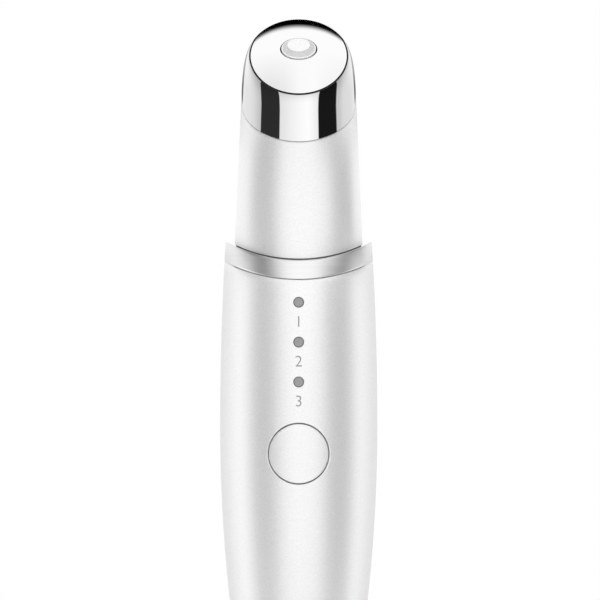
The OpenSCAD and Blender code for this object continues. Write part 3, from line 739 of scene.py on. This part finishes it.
HEAD_R = neck_radius(FACE_Z)
RIM_NEARER = 0.13 * MM
RIM_HALF_W = HEAD_R - RIM_EDGE_W
RIM_HALF_D = HEAD_R - RIM_EDGE_D + RIM_NEARER
FACE_AXIS = Vector((0, -math.sin(FACE_TILT), math.cos(FACE_TILT)))


def on_crown(x, y, depth=0.0):
    """Point of the crowned face, or behind it along the face's axis."""
    return Vector((x, y, FACE_Z + FACE_SLOPE * y - (x * x + y * y) / (2 * FACE_BOW_R))) - FACE_AXIS * depth


def rim_place(a, share):
    """Place seen from above on an oval inside the rim, or on the rim at share 1."""
    return share * RIM_HALF_W * math.cos(a), share * (RIM_HALF_D * math.sin(a) - RIM_SHIFT - RIM_NEARER)


def wall_point(a, height, slope, inset=0.0):
    """Point of the head's wall on a slanted plane, at the same bearing as the rim's point."""
    x, y = rim_place(a, 1)
    bearing = math.atan2(y, x)
    lean = NECK_TAPER * slope * math.sin(bearing)
    reach = (NECK_FOOT_R - NECK_TAPER * (height - RING_TOP_Z)) / (1 + lean) - inset
    return Vector((
        reach * math.cos(bearing),
        reach * math.sin(bearing),
        height + slope * reach * math.sin(bearing),
    ))


def shoulder_point(a, u):
    """Point of the rounding between rim and wall, where u runs from 0 to a quarter turn."""
    top = on_crown(*rim_place(a, 1))
    foot = wall_point(a, SHOULDER_Z, SHOULDER_SLOPE)
    out = math.sin(u) ** (2 / SHOULDER_POWER)
    down = 1 - max(math.cos(u), 0) ** (2 / SHOULDER_POWER)
    lean = 1 + NECK_TAPER * (top.z - foot.z) * (down - out) / math.hypot(foot.x, foot.y)
    ahead = foot - top
    fall = FACE_SLOPE * ahead.y - (top.x * ahead.x + top.y * ahead.y) / FACE_BOW_R
    return Vector((
        (top.x + ahead.x * out) * lean,
        (top.y + ahead.y * out) * lean,
        top.z + ahead.z * down + min(fall, 0) * out * (1 - out),
    ))


RIM_LINE = 0.14 * MM
RIM_LINE_D = 0.1 * MM
RIM_LINE_FLOOR = 0.95
RIM_GAP = 4.5
RIM_GAP_NEAR = 9
LENS_HOLE_R = LENS_R + 0.03 * MM
HOLE_BEVEL = 0.015 * MM
HOLE_EDGE = 0.05 * MM
SEAM_EDGE = 0.05 * MM
FACE_ROWS = 36
SHOULDER_ROWS = 44
WALL_ROWS = 14
INNER_SHOULDER = 1.5 * MM
INNER_FACE = 0.88
FAR_SIDE = 0.4


def shoulder_start(a):
    """Where the rounding starts outside the rim's joint, which is widest at the near side. In degrees."""
    return RIM_GAP + RIM_GAP_NEAR * max(0, -math.sin(a)) ** 2


def head_rings(dark_rows):
    """Rules of the head cap's rings, from the lens hole over the face and down to the joint, and back inside.
    Each rule gives a ring's point at a bearing. The rows of faces in its two joints are noted, to be painted
    near-black as shade."""
    line = RIM_LINE / RIM_HALF_D

    def hole_place(a, grow):
        r = LENS_HOLE_R + grow
        return r * math.cos(a), r * math.cos(FACE_TILT) * math.sin(a)

    def hole_ring(grow, depth):
        return lambda a: on_crown(*hole_place(a, grow), depth)

    def face_ring(share):
        def rule(a):
            x, y = rim_place(a, 1 - line)
            near_x, near_y = hole_place(a, HOLE_EDGE)
            return on_crown(near_x + (x - near_x) * share, near_y + (y - near_y) * share)
        return rule

    def shoulder_ring(share):
        return lambda a: shoulder_point(a, math.radians(90 - (90 - shoulder_start(a)) * share))

    def line_foot(a):
        return shoulder_point(a, math.radians(shoulder_start(a))) - FACE_AXIS * RIM_LINE_D

    rings = [hole_ring(0, FACE_T), hole_ring(0, HOLE_EDGE), hole_ring(HOLE_BEVEL, HOLE_BEVEL)]
    rings += [face_ring(share) for share in steps(0, 1, FACE_ROWS)]
    dark_rows.update((0, len(rings) - 1, len(rings), len(rings) + 1))
    rings += [lambda a: on_crown(*rim_place(a, 1 - line * RIM_LINE_FLOOR), RIM_LINE_D), line_foot]
    rings += [shoulder_ring(share) for share in steps(1, 0, SHOULDER_ROWS)]
    drop = SHOULDER_Z - SEAM_Z - SEAM_JOINT / 2
    for share in steps(0, 1, WALL_ROWS)[1:]:
        slope = SHOULDER_SLOPE + (SEAM_SLOPE - SHOULDER_SLOPE) * share
        height = SHOULDER_Z - share * (drop - SEAM_EDGE)
        rings.append(lambda a, h=height, s=slope: wall_point(a, h, s))
    seam = SEAM_Z + SEAM_JOINT / 2
    rings.append(lambda a: wall_point(a, seam, SEAM_SLOPE, SEAM_EDGE))
    rings.append(lambda a: wall_point(a, seam, SEAM_SLOPE, CAP_WALL))
    rings.append(lambda a: wall_point(a, SHOULDER_Z - INNER_SHOULDER, SHOULDER_SLOPE, CAP_WALL))
    rings.append(lambda a: on_crown(*rim_place(a, INNER_FACE), FACE_T))
    rings.append(rings[0])
    return rings


def head_shell():
    """Chrome head: a grid wrapped round the wand, one row of it a ring."""
    dark_rows = set()
    rings = head_rings(dark_rows)
    rows = len(rings) - 1
    deselect_all()
    bpy.ops.mesh.primitive_grid_add(x_subdivisions=SIDES, y_subdivisions=rows, size=2)
    head = named("head_shell")

    def in_painted_shade(middle):
        """Rows painted near-black as shade: the joints' rows, and behind the far rim the two chrome rows
        after them.
        """
        row = int((middle.y + 1) / 2 * rows)
        behind = math.sin(math.pi * (middle.x + 1)) > FAR_SIDE
        return row in dark_rows or behind and row - max(dark_rows) in (1, 2)

    def wrap(u, v, _):
        a = math.tau * round((u + 1) / 2 * SIDES) / SIDES
        return rings[round((v + 1) / 2 * rows)](a)

    # The lens hole's wall, the rim line's slot and two chrome rows behind the far rim get painted shade.
    two_finishes(head, CHROME, SHADE, in_painted_shade)
    reshape(head, wrap)
    outward(head, GRID_MERGE)
    finish(head, CHROME, "root", "head_chrome", "head_cap")


head_shell()


def light_lens():
    """Frosted lens: a bright ring round a blunt cone with a white top, the cone's side painted grey as shade.
    """
    back = FACE_T + LENS_LIP_T
    seat = -FACE_T - 0.02 * MM
    lip_r = LENS_R + LENS_LIP
    ring_r = LENS_R - 0.15 * MM
    cone_r = LENS_R - 0.34 * MM
    ring_edge, top_round = 0.05 * MM, 0.12 * MM
    profile = [(0, -back), (lip_r, -back), (lip_r, seat), (ring_r, seat)]
    profile += arc(ring_r - ring_edge, -0.03 * MM, ring_edge, 0, 80)
    profile += [(cone_r + 0.04 * MM, 0.02 * MM), (cone_r, 0.05 * MM)]
    profile += arc(LENS_TOP_R - top_round, LENS_RISE - top_round, top_round, 20, 90)
    profile += [(0, LENS_RISE)]
    lens = turn("light_lens", profile, sides=LENS_SIDES)

    def on_cone(middle):
        return LENS_TOP_R - 0.05 * MM < math.hypot(middle.x, middle.y) < cone_r and middle.z > 0

    # The cone's side gets the grey of painted shade.
    two_finishes(lens, LENS, LENS_SIDE_SHADE, on_cone)
    lens.data.transform(Matrix.Translation((0, 0, FACE_Z)) @ Matrix.Rotation(FACE_TILT, 4, "X"))
    finish(lens, LENS, "root", "lens_clear", "lens")


light_lens()

# ---- Numerals under the indicators ----

NUMERAL_H = 1.7 * MM
NUMERAL_DROP = 3.0 * MM
NUMERAL_THINNED = 0.02 * MM
HEIGHT_PER_SIZE = 0.7
PRINT_T = 0.01 * MM


def numeral(text, centre_z):
    """Thin printed numeral that lies on the body's front."""
    deselect_all()
    bpy.ops.object.text_add(location=(0, 0, 0))
    words = bpy.context.object
    words.data.body = text
    words.data.align_x = "CENTER"
    words.data.align_y = "CENTER"
    words.data.size = NUMERAL_H / HEIGHT_PER_SIZE
    words.data.offset = -NUMERAL_THINNED
    words.data.extrude = PRINT_T
    bpy.ops.object.convert(target="MESH")
    piece = named("numeral_" + text)
    low = min(v.co.x for v in piece.data.vertices)
    high = max(v.co.x for v in piece.data.vertices)
    reshape(piece, lambda x, y, z: (x - (low + high) / 2, surface_y(x, centre_z + y) - z, centre_z + y))
    outward(piece, GRID_MERGE)
    finish(piece, PRINT, "root", "pipe_grey")


for count, dot_z in enumerate(DOT_PLACES):
    numeral(str(count + 1), dot_z - NUMERAL_DROP)

# ---- Pieces that keep their CAD mesh ----

slots = {entry["slot"]: entry for entry in frame["record"]["materials"]}
slot_of = {entry["node"]: entry["material_slot"] for entry in frame["record"]["subparts"]}
inner = {}
for name, node in frame["nodes"].items():
    # A node that a finished mesh stands for is hidden by now.
    if node.hide_render:
        continue
    slot_name = slot_of[name]
    if slot_name not in inner:
        inner[slot_name] = inner_finish(slots[slot_name])
    node.data.materials.clear()
    node.data.materials.append(inner[slot_name])

# ---- Studio ----

PHOTO_SIDE = 600
PIXELS_PER_MM = 6.56
TOP_PIXEL = 18.5
AXIS_PIXEL = 298.7
CAMERA_DISTANCE = 3.0
SENSOR = 36

wand_top_z = cad_box[1].z
view_width = PHOTO_SIDE / PIXELS_PER_MM * MM
view_z = wand_top_z - (PHOTO_SIDE / 2 - TOP_PIXEL) / PIXELS_PER_MM * MM
view_x = (PHOTO_SIDE / 2 - AXIS_PIXEL) / PIXELS_PER_MM * MM

bpy.ops.object.camera_add(location=(view_x, -CAMERA_DISTANCE, view_z), rotation=(math.pi / 2, 0, 0))
camera = bpy.context.object
camera.data.sensor_width = SENSOR
camera.data.lens = SENSOR * CAMERA_DISTANCE / view_width
camera.data.clip_start = 0.05
camera.data.clip_end = 20
bpy.context.scene.camera = camera


def card_material(name, across, up, blend, outer_up=None, outer_share=None):
    """Light of a card: greys across it blended with greys up it, each a list of (place from 0 to 1, light).
    Its outer parts may have greys of their own up them, with their share given across."""
    material = bpy.data.materials.new(name)
    material.use_nodes = True
    nodes, links = material.node_tree.nodes, material.node_tree.links
    nodes.remove(nodes["Principled BSDF"])
    place = nodes.new("ShaderNodeUVMap")
    parts = nodes.new("ShaderNodeSeparateXYZ")
    links.new(place.outputs["UV"], parts.inputs["Vector"])
    lights = []
    ramps = (("X", across), ("Y", up)) + ((("Y", outer_up), ("X", outer_share)) if outer_up else ())
    for axis, stops in ramps:
        ramp = nodes.new("ShaderNodeValToRGB")
        links.new(parts.outputs[axis], ramp.inputs["Fac"])
        elements = ramp.color_ramp.elements
        elements.remove(elements[1])
        elements[0].position = stops[0][0]
        elements[0].color = (stops[0][1], stops[0][1], stops[0][1], 1)
        for position, light in stops[1:]:
            elements.new(position).color = (light, light, light, 1)
        lights.append(ramp.outputs["Color"])
    if outer_up:
        parted = nodes.new("ShaderNodeMix")
        parted.data_type = "RGBA"
        links.new(lights[3], parted.inputs["Factor"])
        links.new(lights[1], parted.inputs["A"])
        links.new(lights[2], parted.inputs["B"])
        lights[1] = parted.outputs["Result"]
    both = nodes.new("ShaderNodeMix")
    both.data_type = "RGBA"
    both.blend_type = blend
    both.inputs["Factor"].default_value = 1
    links.new(lights[0], both.inputs["A"])
    links.new(lights[1], both.inputs["B"])
    glow = nodes.new("ShaderNodeEmission")
    links.new(both.outputs["Result"], glow.inputs["Color"])
    links.new(glow.outputs["Emission"], nodes["Material Output"].inputs["Surface"])
    return material


def card(
    name, rule, across, up=((0, 1),), columns=96, rows=24, in_diffuse=False, blend="MULTIPLY", outer=()
):
    """Studio card: a grid put in place by a rule of u and v, each from 0 to 1. Only what shines shows it,
    unless it lights the rest too. Its outer parts may have lights of their own, with their share."""
    deselect_all()
    bpy.ops.mesh.primitive_grid_add(x_subdivisions=columns, y_subdivisions=rows, size=2)
    piece = named(name)
    reshape(piece, lambda u, v, _: rule((u + 1) / 2, (v + 1) / 2))
    piece.data.materials.append(card_material(name, across, up, blend, *outer))
    piece.visible_camera = False
    piece.visible_shadow = False
    piece.visible_transmission = False
    piece.visible_diffuse = in_diffuse


def facing_at(bearing, rise):
    """Direction that a surface faces at a bearing round the wand and a rise, in degrees."""
    turn_by, lean = math.radians(bearing), math.radians(rise)
    return Vector((
        math.cos(lean) * math.sin(turn_by),
        -math.cos(lean) * math.cos(turn_by),
        math.sin(lean),
    ))


def mirrored(facing):
    """Direction that a bright surface shows to a level camera in front."""
    view = Vector((0, 1, 0))
    return view - 2 * view.dot(facing) * facing


# Bearings and rises of the cards are in degrees: 0 is the wand's front, and a level one.
HEAD_WALL_R = 8.7 * MM
WRAP_DISTANCE = 0.3
WRAP_EDGE = 88
WRAP_TOP = 44
WRAP_FOOT = -20
WRAP_PINCH = 0.6
PINCH_RISE = 45
WRAP_PINCH_POWER = 2.3
PINCH_TO = 46


def wrap_place(bearing):
    """Place across the head's wrap of what the head's wall shows at a bearing, in degrees."""
    return (bearing + WRAP_EDGE) / (2 * WRAP_EDGE)


def rise_places(stops, top=WRAP_TOP):
    """Places up a wrap of what the head shows at rises in degrees."""
    return [((rise - WRAP_FOOT) / (top - WRAP_FOOT), light) for rise, light in stops]


def head_wrap(u, v):
    """What the head's side shows: u runs round its bearings and v up its rounding."""
    bearing = (2 * u - 1) * WRAP_EDGE
    rise = WRAP_FOOT + (WRAP_TOP - WRAP_FOOT) * v
    pinch = 1 - WRAP_PINCH * (max(rise, 0) / PINCH_RISE) ** WRAP_PINCH_POWER
    middle = max(-PINCH_TO, min(PINCH_TO, bearing))
    bearing = middle * pinch + (bearing - middle) * (WRAP_EDGE - PINCH_TO * pinch) / (WRAP_EDGE - PINCH_TO)
    turn_by = math.radians(bearing)
    start = Vector((HEAD_WALL_R * math.sin(turn_by), -HEAD_WALL_R * math.cos(turn_by), SEAM_Z))
    return start + mirrored(facing_at(bearing, rise)) * WRAP_DISTANCE


# Lights that the head's wall shows, each with its bearing.
HEAD_LIGHTS = (
    (-88, 0.85), (-73, 0.84), (-66, 0.8), (-57, 0.78), (-50, 0.71), (-40.5, 0.53), (-40.4, 0.025),
    (-19, 0.025), (-18.9, 0.78), (-14.8, 0.81), (-6.7, 0.9), (1.3, 0.97), (9.3, 1.02), (17, 0.9),
    (19.4, 0.82), (19.5, 0.009), (40.5, 0.009), (40.6, 0.6), (44, 0.58), (50, 0.71), (66, 0.76), (73, 0.84),
    (88, 0.85),
)
HEAD_FADE = rise_places(((-20, 1), (6, 1), (9, 0.96), (15, 0.88), (24, 0.8), (44, 0.66)))
SIDE_FADE = rise_places(((-20, 1), (6, 1), (15, 1.1), (27, 1.16), (44, 1.16)))
SIDE_SHARE = ((-88, 1), (-64, 1), (-46, 0), (46, 0), (64, 1), (88, 1))
card(
    "head_wrap", head_wrap, [(wrap_place(b), light) for b, light in HEAD_LIGHTS], HEAD_FADE, 176, 32,
    outer=(SIDE_FADE, [(wrap_place(b), share) for b, share in SIDE_SHARE]),
)

RIM_SKY_FROM = 27
RIM_SKY_TOP = 82


def rim_sky(side):
    """What the head's rounding shows close to the rim, left or right of what the face shows."""

    def rule(u, v):
        bearing = side * (RIM_SKY_FROM + (WRAP_EDGE - RIM_SKY_FROM) * u)
        facing = facing_at(bearing, WRAP_TOP + (RIM_SKY_TOP - WRAP_TOP) * v)
        return Vector((HEAD_WALL_R * side, 0, FACE_Z)) + mirrored(facing) * WRAP_DISTANCE

    return rule


RIM_SKY_LIGHT = 0.74
for hand, side in (("left", -1), ("right", 1)):
    card(hand + "_rim_sky", rim_sky(side), ((0, RIM_SKY_LIGHT),), ((0, 1), (1, 0.8)), 32, 16)

OUTLINE_FROM = 77
OUTLINE_WIDENS = 18
OUTLINE_TO = 90.3
OUTLINE_TOP = 64
OUTLINE_NEARER = 0.97


def outline_flag(side):
    """Dark card behind that draws the head's outline, left or right."""

    def rule(u, v):
        rise = WRAP_FOOT + (OUTLINE_TOP - WRAP_FOOT) * v
        start = OUTLINE_FROM - OUTLINE_WIDENS * max(rise, 0) / OUTLINE_TOP
        facing = facing_at(side * (start + (OUTLINE_TO - start) * u), rise)
        return Vector((HEAD_WALL_R * side, 0, SEAM_Z)) + mirrored(facing) * WRAP_DISTANCE * OUTLINE_NEARER

    return rule


OUTLINE_FADE = rise_places(((-20, 0.12), (3, 0.13), (7, 0.17), (14, 0.4), (22, 0.45), (64, 0.5)), OUTLINE_TOP)
for hand, side in (("left", -1), ("right", 1)):
    card(hand + "_outline", outline_flag(side), ((0, 1),), OUTLINE_FADE, 16, 16)

FACE_HALF = 9 * MM


def face_shows(x, y, distance):
    """Place of what the crowned face shows at a point of it."""
    facing = Vector((x / FACE_BOW_R, y / FACE_BOW_R - FACE_SLOPE, 1)).normalized()
    return on_crown(x, y) + mirrored(facing) * distance


def face_sky(u, v):
    """What the near part of the face shows."""
    return face_shows((2 * u - 1) * FACE_HALF, (v - 1) * FACE_HALF, WRAP_DISTANCE)


NEAR_FACE = ((0.1, 0.84), (0.26, 0.79), (0.38, 0.84), (0.5, 0.97), (0.62, 1), (0.74, 0.93), (0.9, 0.88))
card("face_sky", face_sky, NEAR_FACE, ((0, 0), (0.25, 0.1), (1, 1)), 48, 24, blend="SCREEN")

FAR_ARC_FROM = 8
FAR_ARC_TURNS = 164
FAR_ARC_REACH = 3.35 * MM
FAR_ARC_POWER = 0.9
FAR_ARC_NEARER = 0.95


def far_arc(u, v):
    """What the far rim of the face shows: a black arc that follows the rim."""
    a = math.radians(FAR_ARC_FROM + FAR_ARC_TURNS * u)
    x, y = rim_place(a, 1.12 - 0.01 * v)
    reach = FAR_ARC_REACH * math.sin(a) ** FAR_ARC_POWER * v
    return face_shows(x, y - reach, WRAP_DISTANCE * FAR_ARC_NEARER)


FAR_FADE = ((0, 0), (0.56, 0), (0.62, 0.08), (0.7, 0.25), (0.77, 0.47), (0.85, 0.71), (0.92, 0.9), (1, 1))
card("far_arc", far_arc, ((0, 1),), FAR_FADE, 64, 24)


def round_places(stops):
    """Places across a card that goes all the way round the wand, for bearings in degrees."""
    return [((bearing + 180) / 360, light) for bearing, light in stops]


def all_round(distance, low, high):
    """Rule of a card round the wand: u runs from behind on the left to behind on the right."""

    def rule(u, v):
        bearing = math.tau * (u - 0.5)
        return distance * math.sin(bearing), -distance * math.cos(bearing), low + (high - low) * v

    return rule


# Round the body, as its paint and the ring show it.
LOW_CARD = all_round(0.14, 0.002, 0.119)
LOW_LIGHTS = (
    (-180, 0.7), (-130, 0.75), (-108, 1.0), (-98, 1.28), (-80, 1.28), (-65, 0.09), (-37, 0.09), (-22, 1.17),
    (30, 1.17), (45, 0.09), (75, 0.09), (91, 1.28), (98, 1.28), (108, 1.0), (130, 0.75), (180, 0.7),
)
card("low_wrap", LOW_CARD, round_places(LOW_LIGHTS), columns=180, rows=1, in_diffuse=True)

# Nearer, round the neck, which alone shows it.
NECK_CARD = all_round(0.034, 0.093, 0.1105)
NECK_LIGHTS = (
    (-180, 1), (-95, 1.05), (-78, 0.09), (-45, 0.09), (-27, 1.08), (45, 1.08), (64, 0.09), (96, 0.09),
    (112, 1.05), (180, 1),
)
card("neck_wrap", NECK_CARD, round_places(NECK_LIGHTS), columns=180, rows=1)


def white_floor():
    """Pale floor that keeps the wand's shadow and fades into the white round it."""
    deselect_all()
    bpy.ops.mesh.primitive_circle_add(vertices=96, radius=0.5, fill_type="NGON")
    floor = named("floor")
    material, nodes, links, shader = new_finish("pale_floor", (0.92, 0.92, 0.92), 0.8)
    glow = nodes.new("ShaderNodeEmission")
    place = nodes.new("ShaderNodeTexCoord")
    reach = nodes.new("ShaderNodeVectorMath")
    reach.operation = "LENGTH"
    fade = nodes.new("ShaderNodeMapRange")
    fade.interpolation_type = "SMOOTHSTEP"
    fade.inputs["From Min"].default_value = 0.03
    fade.inputs["From Max"].default_value = 0.2
    blend = nodes.new("ShaderNodeMixShader")
    links.new(place.outputs["Object"], reach.inputs[0])
    links.new(reach.outputs["Value"], fade.inputs["Value"])
    links.new(fade.outputs["Result"], blend.inputs["Fac"])
    links.new(shader.outputs["BSDF"], blend.inputs[1])
    links.new(glow.outputs["Emission"], blend.inputs[2])
    links.new(blend.outputs["Shader"], nodes["Material Output"].inputs["Surface"])
    floor.data.materials.append(material)


white_floor()


def white_world():
    """White all round: full for the camera and for what metal and glass show."""
    world = bpy.data.worlds.new("white_studio")
    world.use_nodes = True
    nodes, links = world.node_tree.nodes, world.node_tree.links
    light = nodes["Background"]
    light.inputs["Color"].default_value = (1, 1, 1, 1)
    light.inputs["Strength"].default_value = 0.95
    shown = nodes.new("ShaderNodeBackground")
    shown.inputs["Color"].default_value = (1, 1, 1, 1)
    path = nodes.new("ShaderNodeLightPath")
    either = nodes.new("ShaderNodeMath")
    either.operation = "MAXIMUM"
    any_of = nodes.new("ShaderNodeMath")
    any_of.operation = "MAXIMUM"
    mix = nodes.new("ShaderNodeMixShader")
    links.new(path.outputs["Is Camera Ray"], either.inputs[0])
    links.new(path.outputs["Is Glossy Ray"], either.inputs[1])
    links.new(either.outputs["Value"], any_of.inputs[0])
    links.new(path.outputs["Is Transmission Ray"], any_of.inputs[1])
    links.new(any_of.outputs["Value"], mix.inputs["Fac"])
    links.new(light.outputs["Background"], mix.inputs[1])
    links.new(shown.outputs["Background"], mix.inputs[2])
    links.new(mix.outputs["Shader"], nodes["World Output"].inputs["Surface"])
    bpy.context.scene.world = world


white_world()
bpy.context.scene.view_settings.view_transform = "Standard"
